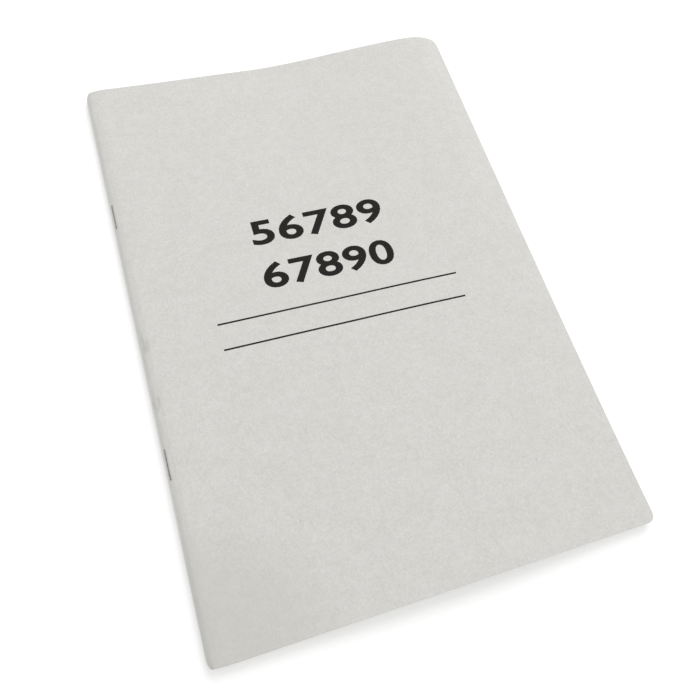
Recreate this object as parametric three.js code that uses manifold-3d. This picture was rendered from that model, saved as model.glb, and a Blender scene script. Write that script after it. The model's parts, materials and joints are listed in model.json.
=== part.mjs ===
// Record book, lying closed: folded sheets in a folded card cover, held by two wire staples.
// Millimetres. +X runs from the fold to the fore-edge, +Y from the tail to the head, +Z up.
// Each sheet is one piece of paper: a front leaf, a fold and a back leaf, so that the book can open.

import * as THREE from 'three';
import { mergeVertices } from 'three/addons/utils/BufferGeometryUtils.js';
import Module from 'manifold-3d';

const wasm = await Module();
wasm.setup();

// Page and stock
const pageWidth = 200;
const pageHeight = 290;
const cornerRadius = 4;
const cardThickness = 0.4;
const paperThickness = 0.1;
const sheetCount = 16;

// Wire staples: crown outside the fold, ends clinched inside it
const wireDiameter = 0.45;
const crownLength = 13.4;
const clinchLength = 4.5;
const wireBend = 0.45;
const staplePitch = 127;
const stapleLean = 65;

// Clearances
const sheetAir = 0.01;
const coverAir = 0.05;
const seam = 0.02;
const legClearance = 0.08;
const crownClearance = 0.02;
const clinchClearance = 0.095;
const leafClearance = 0.075;

// Distance from the fold's centre line to where the cover bends as it opens
const coverHinge = 5;

// The closed book swells in the middle and curls up at the head's fore-edge corner, with its edge rolled down
const swellHeight = 2.8;
const swellPeak = 110;
const curlHeight = 15;
const curlStart = 85;
const curlPower = 1.5;
const rollDepth = 6;
const rollWidth = 22;

// Facets
const foldFacets = 10;
const leafSpans = 12;
const cornerSpans = 3;
const heightSpans = 3;
const wireSides = 8;
const wireSteps = 40;
const slopeSteps = 40;

const sheetPitch = paperThickness + sheetAir;
const foldOpening = wireDiameter + 2 * clinchClearance;
const leafStart = wireDiameter / 2 + leafClearance;
const blockRadius = foldOpening / 2 + sheetCount * sheetPitch - sheetAir;
const coverInside = blockRadius + coverAir;
const spineRadius = coverInside + cardThickness;
const foldHeight = spineRadius;
const coverHeight = foldHeight + coverInside;

// How far the front cover stands above its flat height, at a distance from the fold along the sheet.
function lift(distance, y) {
  const headShare = y / pageHeight;
  const rise = THREE.MathUtils.smoothstep(distance, 0, swellPeak);
  const fall = THREE.MathUtils.smoothstep(distance, swellPeak, pageWidth);
  const curl = THREE.MathUtils.smoothstep(distance, curlStart, pageWidth);
  const roll = Math.max(0, 1 - (pageWidth - distance) / rollWidth) ** 2;
  return swellHeight * (rise - fall) + curlHeight * headShare ** curlPower * curl - rollDepth * headShare * roll;
}

// A layer at a flat height rises by its share of the lift, as loose leaves do.
function layerHeight(flatHeight, distance, y) {
  return flatHeight * (1 + lift(distance, y) / coverHeight);
}

// A sheet doesn't stretch, so where a layer slopes, what lies past the slope is drawn in towards the fold.
function layerReach(flatHeight, distance, y) {
  const step = distance / slopeSteps;
  let reach = 0;
  for (let i = 0; i < slopeSteps; i += 1) {
    const climb = layerHeight(flatHeight, step * (i + 1), y) - layerHeight(flatHeight, step * i, y);
    reach += Math.sqrt(step ** 2 - climb ** 2);
  }
  return reach;
}

// The same stations along the sheet for every layer, so that the layers nest.
function stationsFrom(start) {
  const cornerStart = pageWidth - cornerRadius;
  const stations = start < coverHinge ? [start, coverHinge] : [start];
  for (let i = 1; i <= leafSpans; i += 1) {
    stations.push(THREE.MathUtils.lerp(coverHinge, cornerStart, i / leafSpans));
  }
  for (let i = 1; i <= cornerSpans; i += 1) {
    stations.push(cornerStart + cornerRadius * Math.sin((Math.PI / 2) * (i / cornerSpans)));
  }
  return stations;
}

// How far a rounded fore-edge corner cuts in from the head or tail at a station.
function cornerInset(station) {
  const past = station - (pageWidth - cornerRadius);
  return past <= 0 ? 0 : cornerRadius - Math.sqrt(Math.max(0, cornerRadius ** 2 - past ** 2));
}

// A leaf or cover board: a bent plate on a grid of stations, with rounded fore-edge corners.
function plate(start, flatHeight, thickness) {
  const stations = stationsFrom(start);
  const row = heightSpans + 1;
  const layerSize = stations.length * row;
  const positions = [];
  const faces = [];
  const quad = (a, b, c, d) => faces.push(a, b, c, a, c, d);
  for (const rise of [0, thickness]) {
    for (const station of stations) {
      const inset = cornerInset(station);
      for (let j = 0; j < row; j += 1) {
        const y = THREE.MathUtils.lerp(inset, pageHeight - inset, j / heightSpans);
        positions.push(layerReach(flatHeight, station, y), y, layerHeight(flatHeight, station, y) + rise);
      }
    }
  }
  for (let i = 0; i + 1 < stations.length; i += 1) {
    for (let j = 0; j < heightSpans; j += 1) {
      const corner = i * row + j;
      const top = corner + layerSize;
      faces.push(corner, corner + 1, corner + row + 1, corner, corner + row + 1, corner + row);
      faces.push(top, top + row + 1, top + 1, top, top + row, top + row + 1);
    }
    const tail = i * row;
    const head = tail + heightSpans;
    quad(tail, tail + row, tail + row + layerSize, tail + layerSize);
    quad(head, head + layerSize, head + row + layerSize, head + row);
  }
  const last = (stations.length - 1) * row;
  for (let j = 0; j < heightSpans; j += 1) {
    quad(j, j + layerSize, j + 1 + layerSize, j + 1);
    quad(last + j, last + j + 1, last + j + 1 + layerSize, last + j + layerSize);
  }
  const geometry = new THREE.BufferGeometry();
  geometry.setAttribute('position', new THREE.Float32BufferAttribute(positions, 3));
  geometry.setIndex(faces);
  geometry.computeVertexNormals();
  return geometry;
}

function toSolid(geometry) {
  const bare = geometry.clone();
  bare.deleteAttribute('normal');
  bare.deleteAttribute('uv');
  const merged = mergeVertices(bare);
  return new wasm.Manifold(new wasm.Mesh({
    numProp: 3,
    vertProperties: new Float32Array(merged.attributes.position.array),
    triVerts: new Uint32Array(merged.index.array),
  }));
}

function toGeometry(solid) {
  const mesh = solid.getMesh();
  const geometry = new THREE.BufferGeometry();
  geometry.setAttribute('position', new THREE.BufferAttribute(new Float32Array(mesh.vertProperties), 3));
  geometry.setIndex(new THREE.BufferAttribute(new Uint32Array(mesh.triVerts), 1));
  geometry.computeVertexNormals();
  return geometry;
}

// Angles are about the fold's centre line, in the XZ plane, from +X towards +Z.
const leanAngle = THREE.MathUtils.degToRad(180 - stapleLean);
const crownRadius = spineRadius + crownClearance + wireDiameter / 2;
const staplePlaces = [(pageHeight - staplePitch) / 2, (pageHeight + staplePitch) / 2];

function aboutFold(radius, angle) {
  return [radius * Math.cos(angle), foldHeight + radius * Math.sin(angle)];
}

// The legs' holes through every fold: square bars on the legs' own lines.
function legHoles() {
  const width = wireDiameter + 2 * legClearance;
  const length = crownRadius;
  const bars = [];
  for (const place of staplePlaces) {
    for (const side of [-1, 1]) {
      const bar = new THREE.BoxGeometry(length, width, width);
      bar.translate(length / 2, 0, 0);
      bar.rotateY(-leanAngle);
      bar.translate(0, place + (side * crownLength) / 2, foldHeight);
      bars.push(toSolid(bar));
    }
  }
  return wasm.Manifold.union(bars);
}

const holes = legHoles();

// Half a turn of paper or card about the fold's centre line, with a short flat end on each side.
function fold(insideRadius, thickness, flatEnd) {
  const outsideRadius = insideRadius + thickness;
  const topInside = layerHeight(foldHeight + insideRadius, flatEnd, 0);
  const bottomInside = layerHeight(foldHeight - outsideRadius, flatEnd, 0) + thickness;
  const outline = [[flatEnd, topInside], [flatEnd, topInside + thickness]];
  const arc = (radius, share) => aboutFold(radius, (Math.PI / 2) * (1 + 2 * share));
  for (let i = 0; i <= foldFacets; i += 1) {
    outline.push(arc(outsideRadius, i / foldFacets));
  }
  outline.push([flatEnd, bottomInside - thickness], [flatEnd, bottomInside]);
  for (let i = foldFacets; i >= 0; i -= 1) {
    outline.push(arc(insideRadius, i / foldFacets));
  }
  const shape = new THREE.Shape(outline.map(([x, z]) => new THREE.Vector2(x, z)));
  const geometry = new THREE.ExtrudeGeometry(shape, { depth: pageHeight, bevelEnabled: false });
  geometry.rotateX(Math.PI / 2);
  geometry.translate(0, pageHeight, 0);
  return toGeometry(toSolid(geometry).subtract(holes));
}

// One staple: a crown outside the fold, two legs through it, and ends clinched inwards inside it.
function staple(place) {
  const at = (along, radius) => {
    const [x, z] = aboutFold(radius, leanAngle);
    return new THREE.Vector3(x, place + along, z);
  };
  const half = crownLength / 2;
  const path = new THREE.CurvePath();
  const line = (from, to) => path.add(new THREE.LineCurve3(at(...from), at(...to)));
  const bend = (from, corner, to) => {
    path.add(new THREE.QuadraticBezierCurve3(at(...from), at(...corner), at(...to)));
  };
  line([clinchLength - half, 0], [wireBend - half, 0]);
  bend([wireBend - half, 0], [-half, 0], [-half, wireBend]);
  line([-half, wireBend], [-half, crownRadius - wireBend]);
  bend([-half, crownRadius - wireBend], [-half, crownRadius], [wireBend - half, crownRadius]);
  line([wireBend - half, crownRadius], [half - wireBend, crownRadius]);
  bend([half - wireBend, crownRadius], [half, crownRadius], [half, crownRadius - wireBend]);
  line([half, crownRadius - wireBend], [half, wireBend]);
  bend([half, wireBend], [half, 0], [half - wireBend, 0]);
  line([half - wireBend, 0], [half - clinchLength, 0]);
  const section = new THREE.Shape();
  for (let i = 0; i < wireSides; i += 1) {
    const turn = (2 * Math.PI * i) / wireSides;
    const x = (wireDiameter / 2) * Math.cos(turn);
    const y = (wireDiameter / 2) * Math.sin(turn);
    if (i === 0) section.moveTo(x, y);
    else section.lineTo(x, y);
  }
  section.closePath();
  return new THREE.ExtrudeGeometry(section, { steps: wireSteps, extrudePath: path, bevelEnabled: false });
}

function card() {
  return new THREE.MeshStandardMaterial({ color: 0xd6d5d1, roughness: 0.9, metalness: 0 });
}

function paper() {
  return new THREE.MeshStandardMaterial({ color: 0xf1f0ea, roughness: 0.95, metalness: 0 });
}

function steel() {
  return new THREE.MeshStandardMaterial({ color: 0x9a9a98, roughness: 0.35, metalness: 1 });
}

const book = new THREE.Group();

function add(name, geometry, material) {
  const mesh = new THREE.Mesh(geometry, material);
  mesh.name = name;
  book.add(mesh);
}

const boardStart = coverHinge + seam;
add('front_cover', plate(boardStart, foldHeight + coverInside, cardThickness), card());
add('cover_fold', fold(coverInside, cardThickness, coverHinge - seam), card());
add('back_cover', plate(boardStart, foldHeight - spineRadius, cardThickness), card());

for (let sheet = 1; sheet <= sheetCount; sheet += 1) {
  const inside = foldOpening / 2 + (sheetCount - sheet) * sheetPitch;
  const name = `sheet_${String(sheet).padStart(2, '0')}`;
  const backHeight = foldHeight - inside - paperThickness;
  add(`${name}_front_leaf`, plate(leafStart, foldHeight + inside, paperThickness), paper());
  add(`${name}_fold`, fold(inside, paperThickness, leafStart - seam), paper());
  add(`${name}_back_leaf`, plate(leafStart, backHeight, paperThickness), paper());
}

add('tail_staple', staple(staplePlaces[0]), steel());
add('head_staple', staple(staplePlaces[1]), steel());

// The origin is at the middle of the book's box, on the surface that it lies on.
book.position.set(-(pageWidth - spineRadius) / 2, -pageHeight / 2, 0);

export default book;
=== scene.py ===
"""Looks of a record book in a folded card cover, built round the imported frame.

Metres, in the frame's own axes: +X from the fold to the fore-edge, +Y from the tail to the head, +Z up.
"""

import json
import math

import bmesh
import bpy
from mathutils import Matrix, Vector


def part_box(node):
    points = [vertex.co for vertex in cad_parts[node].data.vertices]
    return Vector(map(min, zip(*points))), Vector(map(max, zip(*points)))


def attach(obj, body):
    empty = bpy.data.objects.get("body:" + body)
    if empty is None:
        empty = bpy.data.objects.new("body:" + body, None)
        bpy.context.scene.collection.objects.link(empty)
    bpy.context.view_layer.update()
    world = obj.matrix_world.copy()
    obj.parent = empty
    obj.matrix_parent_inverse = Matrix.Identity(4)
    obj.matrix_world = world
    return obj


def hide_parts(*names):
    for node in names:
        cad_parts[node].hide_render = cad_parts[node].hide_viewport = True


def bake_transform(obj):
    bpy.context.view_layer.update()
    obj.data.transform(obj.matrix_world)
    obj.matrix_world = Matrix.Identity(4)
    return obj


MM = 0.001
QUARTER_TURN = math.pi / 2

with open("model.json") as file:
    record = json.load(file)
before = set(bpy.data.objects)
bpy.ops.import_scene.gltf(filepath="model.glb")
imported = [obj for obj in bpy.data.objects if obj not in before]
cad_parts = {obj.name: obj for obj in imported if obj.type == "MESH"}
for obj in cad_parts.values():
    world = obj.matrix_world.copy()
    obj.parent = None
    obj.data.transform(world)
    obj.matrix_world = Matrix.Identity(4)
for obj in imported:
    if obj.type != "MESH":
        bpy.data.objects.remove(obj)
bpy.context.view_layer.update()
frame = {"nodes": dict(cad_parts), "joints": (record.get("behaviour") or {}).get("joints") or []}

# Sizes and places from the frame

centre_joint = next(j for j in frame["joints"] if j["name"] == "centre_opening")
FOLD_X, _, FOLD_Z = centre_joint["pos_m"]
cover_low, cover_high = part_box("front_cover")
back_low, back_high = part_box("back_cover")
spine_low, spine_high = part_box("cover_fold")
TAIL_Y = cover_low.y
PAGE_HEIGHT = cover_high.y - cover_low.y
PAGE_WIDTH = back_high.x - FOLD_X
CARD = back_high.z - back_low.z
SPINE_RADIUS = FOLD_X - spine_low.x
COVER_HEIGHT = 2 * SPINE_RADIUS - CARD
HINGE_X = (spine_high.x + cover_low.x) / 2 - FOLD_X
SHEETS = sum(name.endswith("_front_leaf") for name in frame["nodes"])

# The closed book's form: a swell in the middle, and a curl at the head's fore-edge corner that is
# rolled down at its edge. The curl is 0.05 mm under the solids', so that this finer mesh stays
# inside their box.

SWELL_HEIGHT = 2.8 * MM
SWELL_PEAK = 110 * MM
CURL_HEIGHT = 14.95 * MM
CURL_START = 85 * MM
CURL_POWER = 1.5
ROLL_DEPTH = 6 * MM
ROLL_WIDTH = 22 * MM
REACH_STEPS = 40


def place(x, y, z=0.0):
    """A point given from the fold and the tail, in the frame."""
    return Vector((FOLD_X + x, TAIL_Y + y, z))


def quarter_arc(inside, thickness):
    """Length of a bent layer's middle, from the outermost point of the fold to where it runs flat."""
    return QUARTER_TURN * (inside + thickness / 2)


def smooth(value, low, high):
    """0 below the low value, 1 above the high one, and a smooth step between them."""
    share = min(1, max(0, (value - low) / (high - low)))
    return share * share * (3 - 2 * share)


def lift(distance, y):
    """How far the front cover stands above its flat height, at a distance along it from the fold."""
    head_share = y / PAGE_HEIGHT
    swell = smooth(distance, 0, SWELL_PEAK) - smooth(distance, SWELL_PEAK, PAGE_WIDTH)
    curl = head_share**CURL_POWER * smooth(distance, CURL_START, PAGE_WIDTH)
    roll = head_share * max(0, 1 - (PAGE_WIDTH - distance) / ROLL_WIDTH) ** 2
    return SWELL_HEIGHT * swell + CURL_HEIGHT * curl - ROLL_DEPTH * roll


def layer_height(flat_height, distance, y):
    """A layer rises by its share of the cover's lift, as loose leaves do."""
    return flat_height * (1 + lift(distance, y) / COVER_HEIGHT)


def stretch_reach(flat_height, start, end, y):
    """How far a short stretch of a layer reaches along X: it keeps its length where it slopes."""
    climb = layer_height(flat_height, end, y) - layer_height(flat_height, start, y)
    return math.sqrt((end - start) ** 2 - climb**2)


def layer_reach(flat_height, distance, y):
    """X of a place on a layer, from the fold, worked out in short stretches."""
    step = distance / REACH_STEPS
    return sum(stretch_reach(flat_height, step * i, step * (i + 1), y) for i in range(REACH_STEPS))


# Node materials

# A finish is a roughness and a specular level, a grain or pulp is a noise's scale, detail and
# roughness, and a range is the pair of values that a smooth step runs between.

NOISE_RANGE = (0.3, 0.7)
PATCH_RANGE = (0.45, 0.75)
MIX_SHARE, MIX_FIRST, MIX_SECOND, MIX_RESULT = 0, 6, 7, 2


def add_node(tree, kind, inputs=None, **settings):
    """A shader node with its settings, and its inputs as values or as the sockets to link."""
    node = tree.nodes.new(kind)
    for name, value in settings.items():
        setattr(node, name, value)
    for name, value in (inputs or {}).items():
        if isinstance(value, bpy.types.NodeSocket):
            tree.links.new(value, node.inputs[name])
        else:
            node.inputs[name].default_value = value
    return node


def math_node(tree, operation, a, b=0.0):
    return add_node(tree, "ShaderNodeMath", {0: a, 1: b}, operation=operation).outputs[0]


def multiply(tree, product, *factors):
    for factor in factors:
        product = math_node(tree, "MULTIPLY", product, factor)
    return product


def noise_node(tree, vector, scale, detail, roughness=0.55):
    inputs = {"Vector": vector, "Scale": scale, "Detail": detail, "Roughness": roughness}
    return add_node(tree, "ShaderNodeTexNoise", inputs).outputs["Fac"]


def remap(tree, value, low, high, out_low=0.0, out_high=1.0):
    """A smooth step from one output value to the other, where the value runs from low to high."""
    inputs = {"Value": value, "From Min": low, "From Max": high, "To Min": out_low, "To Max": out_high}
    return add_node(tree, "ShaderNodeMapRange", inputs, interpolation_type="SMOOTHSTEP").outputs[0]


def stretch(tree, vector, scale, turn=0.0):
    inputs = {"Vector": vector, "Scale": scale, "Rotation": (0, 0, turn)}
    return add_node(tree, "ShaderNodeMapping", inputs).outputs[0]


def mix_colour(tree, share, first, second):
    """The first colour where the share is 0, and the second where it is 1."""
    inputs = {MIX_SHARE: share, MIX_FIRST: first, MIX_SECOND: second}
    return add_node(tree, "ShaderNodeMix", inputs, data_type="RGBA").outputs[MIX_RESULT]


def new_material(name, roughness=0.5, specular=0.5, metallic=0.0):
    material = bpy.data.materials.new(name)
    material.use_nodes = True
    tree = material.node_tree
    shader = tree.nodes["Principled BSDF"]
    shader.inputs["Roughness"].default_value = roughness
    shader.inputs["Specular IOR Level"].default_value = specular
    shader.inputs["Metallic"].default_value = metallic
    return material, tree, shader


def finish_surface(tree, shader, colour, relief, depth):
    """The material takes a colour, and a relief of that depth."""
    tree.links.new(colour, shader.inputs["Base Color"])
    node = add_node(tree, "ShaderNodeBump", {"Height": relief, "Distance": depth, "Strength": 1.0})
    tree.links.new(node.outputs[0], shader.inputs["Normal"])


def flat_place(tree):
    """Place on the unfolded sheet: X across from the fold, Y up from the tail, in metres."""
    flat = add_node(tree, "ShaderNodeAttribute", attribute_name="flat").outputs["Vector"]
    parts = add_node(tree, "ShaderNodeSeparateXYZ", {0: flat}).outputs
    return flat, parts[0], parts[1]


def layered_tone(tree, flat, layers):
    """How dark a pulp is at a place: the sum of layers, each a scale, detail, roughness and weight."""
    total = 0.0
    for scale, detail, roughness, weight in layers:
        noise = noise_node(tree, flat, scale, detail, roughness)
        total = math_node(tree, "ADD", remap(tree, noise, *NOISE_RANGE, 0, weight), total)
    return total


def spot(tree, x, y, centre_x, centre_y, half_width, half_height):
    """1 in the middle of an ellipse on the unfolded sheet, fading to 0 at its rim."""
    across = math_node(tree, "DIVIDE", math_node(tree, "SUBTRACT", x, centre_x), half_width)
    along = math_node(tree, "DIVIDE", math_node(tree, "SUBTRACT", y, centre_y), half_height)
    squares = [math_node(tree, "POWER", part, 2.0) for part in (across, along)]
    return remap(tree, math_node(tree, "ADD", *squares), 0.0, 1.0, 1.0, 0.0)


# Card

CARD_FINISH = (0.92, 0.2)
CARD_COLOUR = (0.768, 0.761, 0.732, 1)
# This dark colour is the pulp's and the dark fibres', and also the painted shade by the fold and at the
# tail corner.
CARD_DARK = (0.572, 0.560, 0.530, 1)
CARD_WORN = (0.370, 0.345, 0.320, 1)
# The rubbed colour is partly worn fibres and partly painted light on the fold's shaded outer side.
CARD_RUBBED_AND_LIT = (0.880, 0.872, 0.845, 1)
CARD_LAYERS = ((70, 3, 0.5, 0.10), (240, 3, 0.6, 0.19), (700, 4, 0.7, 0.35), (1500, 3, 0.7, 0.30))
CARD_TONE_SHARE = 0.9
CARD_GRAIN = (2400, 3)
CARD_GRAIN_SHARE = 0.5
CARD_RELIEF = 0.03 * MM

# Fibres: each kind has its turn, its colour and the noise value above which it shows

FIBRE_LIGHT = (0.840, 0.835, 0.810, 1)
FIBRE_KINDS = ((0.5, FIBRE_LIGHT, 0.60), (2.2, CARD_DARK, 0.62), (1.3, FIBRE_LIGHT, 0.63))
FIBRE_STRETCH = (2600, 420, 1)
FIBRE_DETAIL = 2
FIBRE_RISE = 0.10
FIBRE_SHARE = 0.55

# Specks: the middles of some cells, picked by their random value

SPECK_COLOUR = (0.330, 0.310, 0.280, 1)
SPECK_CELLS = 150.0
SPECK_RIM = (0.022, 0.05)
SPECK_CHANCE = (0.62, 0.66)
SPECK_SHARE = 0.6

# Wear and painted light: distances across are from the outermost line of the fold, on the unfolded
# card. The fold's steep outer side is lighter, partly worn fibres and partly painted light against
# its own shade. The dark band along the rounded fold is painted shade, where the fold turns from the
# lamp; it ends in three fades, each with its start, its end and its weight. The painted shade at the
# corner of the tail and the fold is an ellipse, with its centre and its half width and height, and
# each worn spot is one too, with the height of its centre and its half height.

WEAR_AND_SHADE_STRETCH = (500, 90, 1)
WEAR_AND_SHADE_DETAIL = (5, 0.65)
RUBBED_AND_LIT_EDGE = (0.6 * MM, 2.6 * MM)
RUBBED_AND_LIT_SHARE = 0.9
SHADE_BAND_START = (0.8 * MM, 2.8 * MM)
SHADE_BAND_ENDS = ((3.2 * MM, 4.2 * MM, 0.38), (5.0 * MM, 6.2 * MM, 0.30), (5.0 * MM, 10.0 * MM, 0.20))
SHADE_BAND_UNEVEN = (0.45, 0.85)
# Painted shade at the corner where the tail meets the fold.
SHADED_CORNER = (0.0, 0.0, 64 * MM, 64 * MM)
SHADED_CORNER_SHARE = 0.5
WORN_PLACE = 3.6 * MM
WORN_HALF_WIDTH = 2.6 * MM
WORN_SPOTS = ((138.5 * MM, 7.0 * MM), (109.0 * MM, 4.5 * MM))
WORN_RANGE = (0.35, 0.65)
WORN_UNEVEN = (0.1, 1)
WORN_SHARE = 0.4


def paint_fibres(tree, flat, colour):
    """Short pale and dark fibres that lie in three directions."""
    for turn, paint, threshold in FIBRE_KINDS:
        strands = noise_node(tree, stretch(tree, flat, FIBRE_STRETCH, turn), 1.0, FIBRE_DETAIL)
        shown = remap(tree, strands, threshold, threshold + FIBRE_RISE)
        colour = mix_colour(tree, multiply(tree, shown, FIBRE_SHARE), colour, paint)
    return colour


def paint_specks(tree, flat, colour):
    """Small dark specks, a few centimetres apart."""
    cells = add_node(tree, "ShaderNodeTexVoronoi", {"Vector": flat, "Scale": SPECK_CELLS}).outputs
    middle = remap(tree, cells["Distance"], *SPECK_RIM, 1, 0)
    chance = add_node(tree, "ShaderNodeSeparateColor", {0: cells["Color"]}).outputs[0]
    share = multiply(tree, middle, remap(tree, chance, *SPECK_CHANCE), SPECK_SHARE)
    return mix_colour(tree, share, colour, SPECK_COLOUR)


def paint_wear_and_shade(tree, flat, x, y, colour):
    """The fold's rubbed edge, lighter partly by painted light, the painted shade along the fold and at
    the tail corner, and the scuffed spots.
    """
    wear_and_shade_noise = noise_node(tree, stretch(tree, flat, WEAR_AND_SHADE_STRETCH), 1.0, *WEAR_AND_SHADE_DETAIL)
    across = math_node(tree, "ABSOLUTE", x)
    # The fold's steep outer side is lightened: partly worn fibres, partly painted light against its own
    # shade.
    colour = mix_colour(tree, remap(tree, across, *RUBBED_AND_LIT_EDGE, RUBBED_AND_LIT_SHARE, 0), colour, CARD_RUBBED_AND_LIT)
    # Painted shade: a dark band along the rounded fold, fading out beside it.
    shade_band = 0.0
    for inner, outer, weight in SHADE_BAND_ENDS:
        shade_band = math_node(tree, "ADD", remap(tree, across, inner, outer, weight, 0), shade_band)
    uneven = remap(tree, wear_and_shade_noise, *NOISE_RANGE, *SHADE_BAND_UNEVEN)
    shade_band = multiply(tree, shade_band, uneven, remap(tree, across, *SHADE_BAND_START))
    # Painted shade: the corner where the tail meets the fold is darkened.
    corner_shade = multiply(tree, spot(tree, x, y, *SHADED_CORNER), SHADED_CORNER_SHARE)
    for share in (shade_band, corner_shade):
        colour = mix_colour(tree, share, colour, CARD_DARK)
    for centre_y, half_height in WORN_SPOTS:
        patch = spot(tree, x, y, WORN_PLACE, centre_y, WORN_HALF_WIDTH, half_height)
        share = multiply(tree, patch, remap(tree, wear_and_shade_noise, *WORN_RANGE, *WORN_UNEVEN), WORN_SHARE)
        colour = mix_colour(tree, share, colour, CARD_WORN)
    return colour


def card_material():
    """Uncoated grey card: mottled pulp, short pale and dark fibres, specks, a rubbed fold, and painted
    light and shade along the fold and at its tail corner.
    """
    material, tree, shader = new_material("grey_card", *CARD_FINISH)
    flat, x, y = flat_place(tree)
    tone = layered_tone(tree, flat, CARD_LAYERS)
    colour = mix_colour(tree, multiply(tree, tone, CARD_TONE_SHARE), CARD_COLOUR, CARD_DARK)
    colour = paint_fibres(tree, flat, colour)
    colour = paint_specks(tree, flat, colour)
    colour = paint_wear_and_shade(tree, flat, x, y, colour)
    grain = multiply(tree, noise_node(tree, flat, *CARD_GRAIN), CARD_GRAIN_SHARE)
    finish_surface(tree, shader, colour, math_node(tree, "ADD", tone, grain), CARD_RELIEF)
    return material


# Paper

PAPER = 0.1 * MM
PAPER_FINISH = (0.95, 0.15)
PAPER_COLOUR = (0.870, 0.860, 0.810, 1)
PAPER_DARK = (0.780, 0.765, 0.700, 1)
PAPER_PULP = (900, 5, 0.7)
PAPER_LAYERS = ((120, 3, 0.55, 0.30), (*PAPER_PULP, 0.35))
PAPER_RELIEF = 0.015 * MM
LINE_COLOUR = (0.330, 0.400, 0.520, 1)
LINE_PITCH = 8 * MM
LINE_WIDTH = 0.25 * MM
LINE_EDGE = (0.4 * LINE_WIDTH, 0.6 * LINE_WIDTH)
LINE_GRAIN = (1500, 2)
LINE_RANGE = (0.2, 0.6)
LINE_UNEVEN = (0.45, 0.85)
HEAD_MARGIN = 22 * MM
TAIL_MARGIN = 14 * MM
FORE_EDGE_MARGIN = 3 * MM


def paper_lines(tree, flat, x, y):
    """How strong the printed line is at a place: 0 between the lines and in the margins."""
    first_row = TAIL_MARGIN - LINE_PITCH / 2
    row = math_node(tree, "MODULO", math_node(tree, "SUBTRACT", y, first_row), LINE_PITCH)
    offset = math_node(tree, "ABSOLUTE", math_node(tree, "SUBTRACT", row, LINE_PITCH / 2))
    line = remap(tree, offset, *LINE_EDGE, 1, 0)
    above = math_node(tree, "GREATER_THAN", y, TAIL_MARGIN - LINE_WIDTH)
    below = math_node(tree, "LESS_THAN", y, PAGE_HEIGHT - HEAD_MARGIN)
    across = math_node(tree, "ABSOLUTE", x)
    within = math_node(tree, "LESS_THAN", across, PAGE_WIDTH - FORE_EDGE_MARGIN)
    uneven = remap(tree, noise_node(tree, flat, *LINE_GRAIN), *LINE_RANGE, *LINE_UNEVEN)
    return multiply(tree, line, above, below, within, uneven)


def paper_material():
    """Off-white writing paper with pale blue lines that stop short of its three open edges."""
    material, tree, shader = new_material("ruled_paper", *PAPER_FINISH)
    flat, x, y = flat_place(tree)
    tone = layered_tone(tree, flat, PAPER_LAYERS)
    colour = mix_colour(tree, tone, PAPER_COLOUR, PAPER_DARK)
    colour = mix_colour(tree, paper_lines(tree, flat, x, y), colour, LINE_COLOUR)
    finish_surface(tree, shader, colour, noise_node(tree, flat, *PAPER_PULP), PAPER_RELIEF)
    return material


# Ink and steel

INK_FINISH = (0.9, 0.1)
INK_COLOUR = (0.018, 0.0175, 0.016, 1)
INK_THIN = (0.036, 0.035, 0.032, 1)
INK_GRAIN = (1400, 4, 0.7)
INK_RELIEF = 0.01 * MM
STEEL_COLOUR = (0.225, 0.219, 0.210, 1)
STEEL_DARK = (0.110, 0.104, 0.097, 1)
STEEL_SPOTS = (900, 4)
STEEL_DRAWN = (9000, 300, 9000)
STEEL_DRAWN_DETAIL = 3
STEEL_ROUGHNESS = (0.28, 0.5)
STEEL_RELIEF = 0.01 * MM


def ink_material():
    """Printing ink, a little thinner where the card's fibres stand up."""
    material, tree, shader = new_material("black_ink", *INK_FINISH)
    flat, _, _ = flat_place(tree)
    grain = noise_node(tree, flat, *INK_GRAIN)
    colour = mix_colour(tree, remap(tree, grain, *PATCH_RANGE), INK_COLOUR, INK_THIN)
    finish_surface(tree, shader, colour, grain, INK_RELIEF)
    return material


def steel_material():
    """Drawn wire: fine marks along it and a few dull patches."""
    material, tree, shader = new_material("staple_steel", metallic=1.0)
    position = add_node(tree, "ShaderNodeTexCoord").outputs["Object"]
    patches = remap(tree, noise_node(tree, position, *STEEL_SPOTS), *PATCH_RANGE)
    colour = mix_colour(tree, patches, STEEL_COLOUR, STEEL_DARK)
    marks = noise_node(tree, stretch(tree, position, STEEL_DRAWN), 1.0, STEEL_DRAWN_DETAIL)
    roughness = remap(tree, marks, *NOISE_RANGE, *STEEL_ROUGHNESS)
    tree.links.new(roughness, shader.inputs["Roughness"])
    finish_surface(tree, shader, colour, marks, STEEL_RELIEF)
    return material


# Meshes

SHARP_ANGLE = math.radians(40)
WIRE_SHARP_ANGLE = math.radians(60)


def finish_mesh(name, vertices, faces, flats, material, sharp=SHARP_ANGLE):
    """A smooth-shaded object with its place on the unfolded sheet stored at each vertex."""
    mesh = bpy.data.meshes.new(name)
    mesh.from_pydata(vertices, [], faces)
    mesh.validate()
    attribute = mesh.attributes.new("flat", "FLOAT_VECTOR", "POINT")
    attribute.data.foreach_set("vector", [c for flat in flats for c in flat])
    mesh.polygons.foreach_set("use_smooth", [True] * len(mesh.polygons))
    mesh.set_sharp_from_angle(angle=sharp)
    mesh.materials.append(material)
    piece = bpy.data.objects.new(name, mesh)
    bpy.context.scene.collection.objects.link(piece)
    return piece


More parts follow.
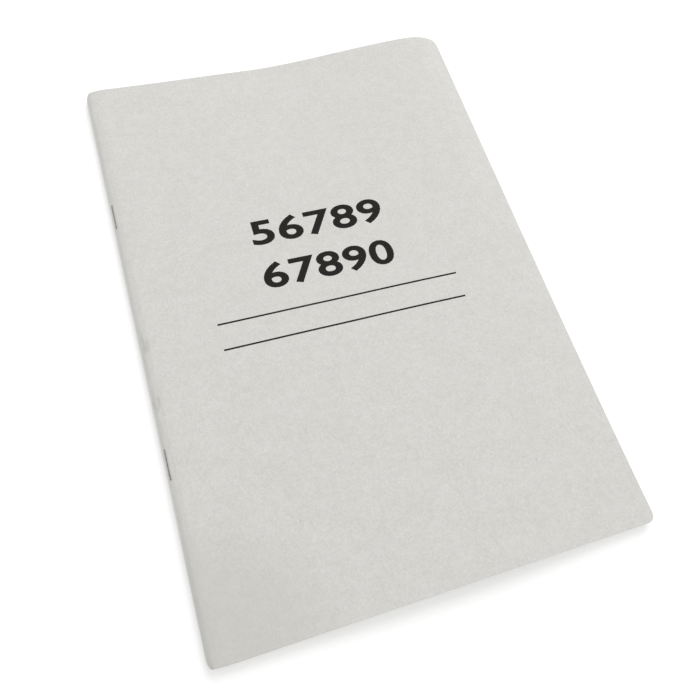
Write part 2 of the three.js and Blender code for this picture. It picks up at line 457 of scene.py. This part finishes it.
def closed_sheet(name, lower, upper, flats, columns, rows, material):
    """A closed thin solid from two grids of points, each with that many columns and rows."""
    count = columns * rows
    faces = []
    for i in range(columns - 1):
        for j in range(rows - 1):
            a = i * rows + j
            b, c, d = a + rows, a + rows + 1, a + 1
            faces.append((d, c, b, a))
            faces.append((a + count, b + count, c + count, d + count))
    rim = [i * rows for i in range(columns)]
    rim += [(columns - 1) * rows + j for j in range(1, rows)]
    rim += [i * rows + rows - 1 for i in range(columns - 2, -1, -1)]
    rim += [j for j in range(rows - 2, 0, -1)]
    for k, a in enumerate(rim):
        b = rim[(k + 1) % len(rim)]
        faces.append((a, b, b + count, a + count))
    return finish_mesh(name, lower + upper, faces, flats + flats, material)


# Leaves and boards: rounded outer corners, and head and tail edges that draw in beside the fold

CORNER_RADIUS = 4 * MM
CORNER_SPANS = 8
DRAWN_WIDTH = 9 * MM
DRAWN_HEAD = 1.2 * MM
DRAWN_TAIL = 0.4 * MM


def row_place(distance, share):
    """Y on a sheet, at a share of the way from its tail edge to its head edge."""
    past = distance - (PAGE_WIDTH - CORNER_RADIUS)
    inset = 0 if past <= 0 else CORNER_RADIUS - math.sqrt(max(0, CORNER_RADIUS**2 - past**2))
    near = min(1, max(0, 1 - distance / DRAWN_WIDTH)) ** 2
    tail = inset + DRAWN_TAIL * near
    head = PAGE_HEIGHT - inset - DRAWN_HEAD * near
    return tail + (head - tail) * share


def leaf(name, start, flat_height, thickness, material, grid, side, arc):
    """A leaf or a board, from its start beside the fold to the fore-edge.

    The grid is its columns up to the rounded corners and its rows, the side is 1 for the front and
    -1 for the back, and the arc is the length of the bend before it.
    """
    columns, rows = grid
    corner_start = PAGE_WIDTH - CORNER_RADIUS
    stations = [start + (corner_start - start) * i / columns for i in range(columns)]
    for i in range(CORNER_SPANS + 1):
        stations.append(corner_start + CORNER_RADIUS * math.sin(QUARTER_TURN * i / CORNER_SPANS))
    lower, upper, flats = [], [], []
    reach = [start] * rows
    before = start
    for station in stations:
        for j in range(rows):
            y = row_place(station, j / (rows - 1))
            z = layer_height(flat_height, station, y)
            reach[j] += stretch_reach(flat_height, before, station, y)
            lower.append(place(reach[j], y, z))
            upper.append(place(reach[j], y, z + thickness))
            flats.append((side * (arc + station), y, 0))
        before = station
    return closed_sheet(name, lower, upper, flats, len(stations), rows, material)


# Folds: pressed in at their head and tail ends

PRESSED_HEAD = 5.5 * MM
PRESSED_TAIL = 4 * MM
PRESSED_DEPTH = 1.9 * MM
PRESSED_SPANS = 8
FOLD_SPANS = 40
FLAT_SPANS = 4


def pressed(y):
    """How far the fold is pressed in at a place, as a share of its radius."""
    past = max(1 - y / PRESSED_TAIL, 1 - (PAGE_HEIGHT - y) / PRESSED_HEAD, 0)
    return PRESSED_DEPTH / SPINE_RADIUS * (1 - math.sqrt(1 - past**2))


def fold_stations():
    """Stations along the fold, closer together where its ends are pressed in."""
    shares = [1 - math.cos(QUARTER_TURN * i / PRESSED_SPANS) for i in range(PRESSED_SPANS + 1)]
    tail = [PRESSED_TAIL * share for share in shares]
    head = [PAGE_HEIGHT - PRESSED_HEAD * share for share in reversed(shares)]
    step = (head[0] - tail[-1]) / FOLD_SPANS
    return tail + [tail[-1] + step * i for i in range(1, FOLD_SPANS)] + head


def fold_section(inside, thickness, flat_end, facets):
    """Points across a fold, from its front end round to its back end: inner, outer and flat place."""
    outside = inside + thickness
    quarter = quarter_arc(inside, thickness)
    section = []
    for i in range(FLAT_SPANS):
        x = flat_end * (1 - i / FLAT_SPANS)
        top = layer_height(FOLD_Z + inside, x, 0)
        section.append(((x, top), (x, top + thickness), quarter + x))
    for i in range(facets + 1):
        turn = math.pi * (0.5 + i / facets)
        inner = (inside * math.cos(turn), FOLD_Z + inside * math.sin(turn))
        outer = (outside * math.cos(turn), FOLD_Z + outside * math.sin(turn))
        section.append((inner, outer, quarter * (1 - 2 * i / facets)))
    for i in range(1, FLAT_SPANS + 1):
        x = flat_end * i / FLAT_SPANS
        bottom = layer_height(FOLD_Z - outside, x, 0)
        section.append(((x, bottom + thickness), (x, bottom), -quarter - x))
    return section


def fold(name, inside, thickness, flat_end, material, facets):
    """Half a turn about the fold's centre line, between two short flat ends."""
    section = fold_section(inside, thickness, flat_end, facets)
    stations = fold_stations()
    inner_points, outer_points, flats = [], [], []
    for (inner_x, inner_z), (outer_x, outer_z), flat_x in section:
        for station in stations:
            keep = 1 - pressed(station)
            y = row_place(outer_x, station / PAGE_HEIGHT)
            inner_points.append(place(inner_x * keep if inner_x < 0 else inner_x, y, inner_z))
            outer_points.append(place(outer_x * keep if outer_x < 0 else outer_x, y, outer_z))
            flats.append((flat_x, y, 0))
    return closed_sheet(name, outer_points, inner_points, flats, len(section), len(stations), material)


# Wire

WIRE_SIDES = 14
WIRE_TIP = 0.55
BEND_SPANS = 6
LEAST_CROSS = 1e-12


def rounded_path(corners, radius):
    """The corners joined by straight lines, with each inner corner rounded by an arc-like bend."""
    path = [corners[0]]
    for before, corner, after in zip(corners, corners[1:], corners[2:]):
        start = corner + (before - corner).normalized() * radius
        end = corner + (after - corner).normalized() * radius
        for i in range(BEND_SPANS + 1):
            t = i / BEND_SPANS
            path.append(start * (1 - t) ** 2 + corner * 2 * t * (1 - t) + end * t**2)
    path.append(corners[-1])
    return path


def path_normal(path):
    """The direction square to the plane that a bent path lies in."""
    for a, b, c in zip(path, path[1:], path[2:]):
        turned = (b - a).cross(c - b)
        if turned.length > LEAST_CROSS:
            return turned.normalized()


def sweep(name, path, radius, material):
    """A round wire along a path that bends in one plane, tapering to its two cut ends."""
    across = path_normal(path)
    last = len(path) - 1
    vertices, faces = [], []
    for k, point in enumerate(path):
        ahead = path[min(k + 1, last)] - path[max(k - 1, 0)]
        outward = ahead.normalized().cross(across)
        size = radius * (WIRE_TIP if k in (0, last) else 1.0)
        for i in range(WIRE_SIDES):
            turn = 2 * math.pi * i / WIRE_SIDES
            vertices.append(point + size * (math.cos(turn) * outward + math.sin(turn) * across))
    for k in range(last):
        for i in range(WIRE_SIDES):
            a, b = k * WIRE_SIDES + i, k * WIRE_SIDES + (i + 1) % WIRE_SIDES
            faces.append((a, a + WIRE_SIDES, b + WIRE_SIDES, b))
    faces.append(tuple(range(WIRE_SIDES)))
    faces.append(tuple(last * WIRE_SIDES + i for i in reversed(range(WIRE_SIDES))))
    flats = [(0, 0, 0)] * len(vertices)
    return finish_mesh(name, vertices, faces, flats, material, WIRE_SHARP_ANGLE)


# Pieces

card = card_material()
paper = paper_material()
ink = ink_material()
steel = steel_material()

FRONT_GRID = (120, 121)
BACK_GRID = (40, 41)
PAPER_GRID = (60, 30)
COVER_FACETS = 28
PAPER_FACETS = 12
COVER_ARC = quarter_arc(SPINE_RADIUS - CARD, CARD)


def dress(piece, body, slot, *nodes):
    """The piece moves with a body and stands for CAD nodes, which it hides; the slot is not used."""
    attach(piece, body)
    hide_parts(*nodes)


def make_cover():
    """The card cover: its front, its back and the fold between them."""
    front = leaf("front_cover_card", HINGE_X, COVER_HEIGHT, CARD, card, FRONT_GRID, 1, COVER_ARC)
    dress(front, "front_cover", "card", "front_cover")
    back = leaf("back_cover_card", HINGE_X, 0, CARD, card, BACK_GRID, -1, COVER_ARC)
    dress(back, "back_cover", "card", "back_cover")
    spine = fold("cover_fold_card", SPINE_RADIUS - CARD, CARD, HINGE_X, card, COVER_FACETS)
    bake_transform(spine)
    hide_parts("cover_fold")


def make_sheet(number):
    """A folded sheet of paper, counted from the outermost: its two leaves and its fold."""
    node = f"sheet_{number:02d}"
    fold_low, fold_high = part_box(f"{node}_fold")
    leaf_low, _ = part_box(f"{node}_front_leaf")
    start = (fold_high.x + leaf_low.x) / 2 - FOLD_X
    outside = FOLD_X - fold_low.x
    inside = outside - PAPER
    arc = quarter_arc(inside, PAPER)
    front = leaf(f"{node}_front_paper", start, FOLD_Z + inside, PAPER, paper, PAPER_GRID, 1, arc)
    dress(front, f"leaf_{number:02d}", "paper", f"{node}_front_leaf")
    back = leaf(f"{node}_back_paper", start, FOLD_Z - outside, PAPER, paper, PAPER_GRID, -1, arc)
    dress(back, "text_block", "paper", f"{node}_back_leaf")
    strip = fold(f"{node}_fold_paper", inside, PAPER, start, paper, PAPER_FACETS)
    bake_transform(strip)
    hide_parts(f"{node}_fold")


WIRE_RADIUS = 0.225 * MM
CROWN_GAP = 0.02 * MM
STAPLE_LEAN = math.radians(65)
BEND_RADIUS = 0.45 * MM
CLINCH_LENGTH = 4.5 * MM
CLINCH_DROP = 0.04 * MM


def make_staple(node):
    """A wire staple: its crown outside the fold, its legs through it, its ends clinched inside."""
    low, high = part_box(node)
    half = (high.y - low.y) / 2 - WIRE_RADIUS
    crown = SPINE_RADIUS + CROWN_GAP + WIRE_RADIUS
    outward = Vector((-math.cos(STAPLE_LEAN), 0, math.sin(STAPLE_LEAN)))
    middle = Vector((FOLD_X, (low.y + high.y) / 2, FOLD_Z))

    def at(along, radius):
        return middle + Vector((0, along, 0)) + outward * radius

    corners = [
        at(CLINCH_LENGTH - half, -CLINCH_DROP), at(-half, CLINCH_DROP), at(-half, crown),
        at(half, crown), at(half, CLINCH_DROP), at(half - CLINCH_LENGTH, -CLINCH_DROP),
    ]
    piece = sweep(f"{node}_wire", rounded_path(corners, BEND_RADIUS), WIRE_RADIUS, steel)
    dress(piece, "staples", "staple_wire", node)


# Printing on the front cover

# Places are from the fold and the tail. A row of figures has its name, its text, and its left,
# right, lower and upper edges.

RULE_START = 33.3 * MM
RULE_END = 153.8 * MM
RULE_PLACES = (("upper_rule", 139.8 * MM), ("lower_rule", 126.7 * MM))
RULE_THICKNESS = 0.86 * MM
FIGURE_ROWS = (
    ("figures_upper_row", "56789", 60.2 * MM, 128.5 * MM, 177.1 * MM, 191.7 * MM),
    ("figures_lower_row", "67890", 60.0 * MM, 126.7 * MM, 152.3 * MM, 166.8 * MM),
)
FIGURE_WEIGHT = 0.023
FIGURE_SPACING = 1.06
FIGURE_RESOLUTION = 5
INK_HEIGHT = 0.03 * MM
INK_DEPTH = 0.02 * MM
INK_STEP = 2.5 * MM


def cut_fine(mesh):
    """A flat mesh cut into strips across X: its points, its faces and its outer edges."""
    made = bmesh.new()
    made.from_mesh(mesh)
    xs = [v.co.x for v in made.verts]
    for i in range(math.ceil(min(xs) / INK_STEP), math.ceil(max(xs) / INK_STEP)):
        bmesh.ops.bisect_plane(
            made, geom=made.verts[:] + made.edges[:] + made.faces[:],
            plane_co=(i * INK_STEP, 0, 0), plane_no=(1, 0, 0),
        )
    points = [v.co.copy() for v in made.verts]
    made.verts.index_update()
    faces = [tuple(v.index for v in face.verts) for face in made.faces]
    rims = [tuple(v.index for v in edge.verts) for edge in made.edges if len(edge.link_faces) == 1]
    made.free()
    return points, faces, rims


def face_outwards(mesh):
    """Turns every face of a closed mesh to the outside."""
    made = bmesh.new()
    made.from_mesh(mesh)
    bmesh.ops.recalc_face_normals(made, faces=made.faces[:])
    made.to_mesh(mesh)
    made.free()


def drape(name, mesh):
    """Ink in the shape of a flat mesh, in metres from the fold and the tail, on the front cover."""
    points, faces, rims = cut_fine(mesh)
    count = len(points)
    vertices, flats = [], []
    for height in (INK_HEIGHT, INK_HEIGHT - INK_DEPTH):
        for co in points:
            top = layer_height(COVER_HEIGHT, co.x, co.y) + CARD
            vertices.append(place(layer_reach(COVER_HEIGHT, co.x, co.y), co.y, top + height))
            flats.append((COVER_ARC + co.x, co.y, 0))
    under = [tuple(i + count for i in reversed(face)) for face in faces]
    sides = [(a, b, b + count, a + count) for a, b in rims]
    piece = finish_mesh(name, vertices, faces + under + sides, flats, ink)
    face_outwards(piece.data)
    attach(piece, "front_cover")
    bpy.data.meshes.remove(mesh)


def make_rule(name, y):
    """A straight printed line across the cover."""
    low, high = y - RULE_THICKNESS / 2, y + RULE_THICKNESS / 2
    corners = [(RULE_START, low, 0), (RULE_END, low, 0), (RULE_END, high, 0), (RULE_START, high, 0)]
    mesh = bpy.data.meshes.new(name + "_flat")
    mesh.from_pydata(corners, [], [(0, 1, 2, 3)])
    drape(name, mesh)


def make_figures(name, text, left, right, bottom, top):
    """A row of plain figures that fills the given place."""
    curve = bpy.data.curves.new(name + "_text", "FONT")
    curve.body = text
    curve.offset = FIGURE_WEIGHT
    curve.space_character = FIGURE_SPACING
    curve.resolution_u = FIGURE_RESOLUTION
    source = bpy.data.objects.new(name + "_text", curve)
    bpy.context.scene.collection.objects.link(source)
    depsgraph = bpy.context.evaluated_depsgraph_get()
    mesh = bpy.data.meshes.new_from_object(source.evaluated_get(depsgraph))
    bpy.data.objects.remove(source)
    xs = [v.co.x for v in mesh.vertices]
    ys = [v.co.y for v in mesh.vertices]
    scale_x = (right - left) / (max(xs) - min(xs))
    scale_y = (top - bottom) / (max(ys) - min(ys))
    shift = Matrix.Translation((left - min(xs) * scale_x, bottom - min(ys) * scale_y, 0))
    mesh.transform(shift @ Matrix.Diagonal((scale_x, scale_y, 1, 1)))
    drape(name, mesh)


# Studio

WHITE = (1, 1, 1, 1)
FLOOR_SIZE = 40.0
FLOOR_DROP = 0.1 * MM
FLOOR_FINISH = (0.9, 0.0)
FLOOR_COLOUR = (0.80, 0.80, 0.80, 1)
NEAR_GLOW = 0.30
FAR_GLOW = 0.45
GLOW_RISE = (0.4, 2.0)
SKY_STRENGTH = 0.72
KEY_POWER = 9.0
KEY_SIZE = 1.1
KEY_PLACE = Vector((0.55, 0.75, 1.25))


def seen_rays(tree):
    """1 for what the camera sees, also in a mirror or through glass, and 0 for the object's light."""
    rays = add_node(tree, "ShaderNodeLightPath").outputs
    seen = math_node(tree, "MAXIMUM", rays["Is Camera Ray"], rays["Is Glossy Ray"])
    return math_node(tree, "MAXIMUM", seen, rays["Is Transmission Ray"])


def make_floor():
    """A pale floor, white to the eye; beyond the lamp's reach it glows more, so that it stays white."""
    bpy.ops.mesh.primitive_plane_add(size=FLOOR_SIZE, location=(0, 0, -FLOOR_DROP))
    floor = bpy.context.object
    floor.name = "studio_floor"
    material, tree, shader = new_material("pale_floor", *FLOOR_FINISH)
    shader.inputs["Base Color"].default_value = FLOOR_COLOUR
    shader.inputs["Emission Color"].default_value = WHITE
    position = add_node(tree, "ShaderNodeNewGeometry").outputs["Position"]
    distance = add_node(tree, "ShaderNodeVectorMath", {0: position}, operation="LENGTH").outputs["Value"]
    glow = remap(tree, distance, *GLOW_RISE, NEAR_GLOW, FAR_GLOW)
    tree.links.new(multiply(tree, seen_rays(tree), glow), shader.inputs["Emission Strength"])
    floor.data.materials.append(material)


def make_world():
    """An even white sky, dimmer where it lights the object than where it is seen."""
    world = bpy.data.worlds.new("studio")
    bpy.context.scene.world = world
    world.use_nodes = True
    tree = world.node_tree
    background = tree.nodes["Background"]
    background.inputs["Color"].default_value = WHITE
    strength = math_node(tree, "MAXIMUM", seen_rays(tree), SKY_STRENGTH)
    tree.links.new(strength, background.inputs["Strength"])


def make_lamp():
    """A broad lamp, aimed at the frame's origin."""
    light = bpy.data.lights.new("key", "AREA")
    light.shape = "DISK"
    light.size = KEY_SIZE
    light.energy = KEY_POWER
    lamp = bpy.data.objects.new("key", light)
    lamp.location = KEY_PLACE
    lamp.rotation_euler = (-KEY_PLACE).to_track_quat("-Z", "Y").to_euler()
    bpy.context.scene.collection.objects.link(lamp)


# The photograph's camera, aimed at a place given from the fold and the tail

IMAGE_SIZE = 700
FOCAL_PIXELS = 677.38
SENSOR_WIDTH = 36
CLIP_START = 1 * MM
CAMERA_AZIMUTH = math.radians(-35.91)
CAMERA_ELEVATION = math.radians(63.47)
CAMERA_ROLL = math.radians(20.17)
CAMERA_DISTANCE = 322.65 * MM
CAMERA_TARGET = (91.21 * MM, 115.60 * MM)


def make_camera():
    """The camera, turned about its own axis by the roll."""
    flat_reach = math.cos(CAMERA_ELEVATION)
    back = Vector((
        math.sin(CAMERA_AZIMUTH) * flat_reach,
        -math.cos(CAMERA_AZIMUTH) * flat_reach,
        math.sin(CAMERA_ELEVATION),
    ))
    right = (-back).cross(Vector((0, 0, 1))).normalized()
    up = right.cross(-back)
    rolled_right = right * math.cos(CAMERA_ROLL) + up * math.sin(CAMERA_ROLL)
    rolled_up = up * math.cos(CAMERA_ROLL) - right * math.sin(CAMERA_ROLL)
    data = bpy.data.cameras.new("camera")
    data.sensor_width = SENSOR_WIDTH
    data.lens = FOCAL_PIXELS / IMAGE_SIZE * SENSOR_WIDTH
    data.clip_start = CLIP_START
    camera = bpy.data.objects.new("camera", data)
    turn = Matrix((rolled_right, rolled_up, back)).transposed().to_4x4()
    camera.matrix_world = Matrix.Translation(place(*CAMERA_TARGET) + back * CAMERA_DISTANCE) @ turn
    bpy.context.scene.collection.objects.link(camera)
    bpy.context.scene.camera = camera


make_camera()
make_world()
make_lamp()
make_floor()
make_cover()
for number in range(1, SHEETS + 1):
    make_sheet(number)
for node in ("tail_staple", "head_staple"):
    make_staple(node)
for name, y in RULE_PLACES:
    make_rule(name, y)
for row in FIGURE_ROWS:
    make_figures(*row)

bpy.context.scene.view_settings.view_transform = "Standard"
